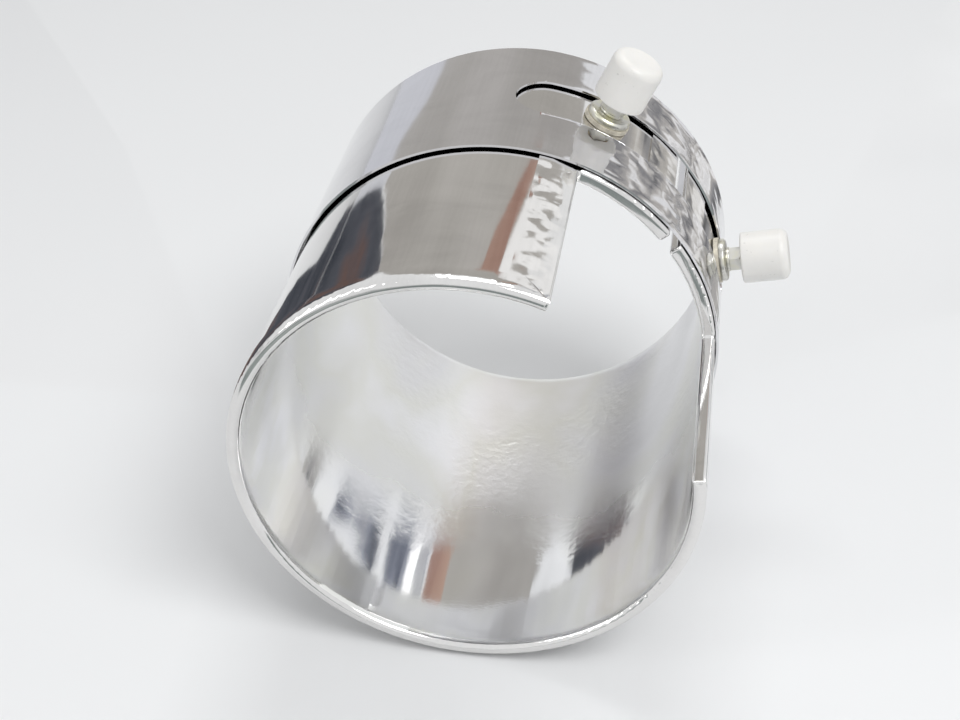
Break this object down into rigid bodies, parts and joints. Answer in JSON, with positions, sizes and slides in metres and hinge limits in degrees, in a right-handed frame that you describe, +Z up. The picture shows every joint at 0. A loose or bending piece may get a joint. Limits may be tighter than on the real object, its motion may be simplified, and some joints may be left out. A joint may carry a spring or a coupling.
{
  "type": "band heater",
  "caption": "Clamp-on barrel heater: rolled, folded-edge steel sheath with a wall notch, ceramic-capped terminals and a slotted clamp strap drawn tight by screws.",
  "frame": {"origin": "middle of the barrel bore, on its axis, halfway along the heater", "axes": "+Y along the bore from the notched rim to the clamped rim, +Z up with the heater lying on its strap and closure, +X to the side the terminals point to"},
  "size_m": [0.1743, 0.152, 0.1719],
  "materials": {
    "polished_sheet": "bright-rolled stainless sheet",
    "strap_sheet": "bright-rolled stainless strap",
    "plated_steel": "zinc plated, clear",
    "ribbon": "oxidised nickel-chrome ribbon",
    "mica": "bonded mica sheet",
    "ceramic": "fired steatite, unglazed",
    "brass": "machined brass"
  },
  "bodies": {
    "heater": {"inner_sheath": "polished_sheet", "outer_sheath": "polished_sheet", "inner_mica": "mica", "outer_mica": "mica", "winding_former": "mica", "resistance_ribbon": "ribbon", "terminal_stud_1": "plated_steel", "stud_bush_1": "ceramic", "mica_washer_1": "mica", "terminal_flange_1": "plated_steel", "lock_washer_1": "plated_steel", "terminal_nut_1": "plated_steel", "terminal_stud_2": "plated_steel", "stud_bush_2": "ceramic", "mica_washer_2": "mica", "terminal_flange_2": "plated_steel", "lock_washer_2": "plated_steel", "terminal_nut_2": "plated_steel"},
    "strap": {"clamp_strap": "strap_sheet", "threaded_bar": "plated_steel", "plain_bar": "plated_steel", "screw_washer_1": "plated_steel", "screw_washer_2": "plated_steel"},
    "cap_1": {"ceramic_cap_1": "ceramic", "cap_insert_1": "brass"},
    "cap_2": {"ceramic_cap_2": "ceramic", "cap_insert_2": "brass"},
    "screw_1": {"clamp_screw_1": "plated_steel"},
    "screw_2": {"clamp_screw_2": "plated_steel"}
  },
  "joints": [
    {"name": "strap_turn", "type": "hinge", "parent": "heater", "child": "strap", "pos_m": [0, 0.039, 0], "axis": [0, 1, 0], "range_deg": [-2, 18]},
    {"name": "cap_1_unscrew", "type": "slide", "parent": "heater", "child": "cap_1", "axis": [0.415, 0, 0.9098], "range_m": [0, 0.014]},
    {"name": "cap_2_unscrew", "type": "slide", "parent": "heater", "child": "cap_2", "axis": [0.9764, 0, 0.2161], "range_m": [0, 0.014]},
    {"name": "clamp_screw_1_turn", "type": "hinge", "parent": "strap", "child": "screw_1", "pos_m": [-0.05403, 0.019, -0.0579], "axis": [0.7311, 0, -0.6822], "continuous": true},
    {"name": "clamp_screw_2_turn", "type": "hinge", "parent": "strap", "child": "screw_2", "pos_m": [-0.05403, 0.059, -0.0579], "axis": [0.7311, 0, -0.6822], "continuous": true}
  ]
}
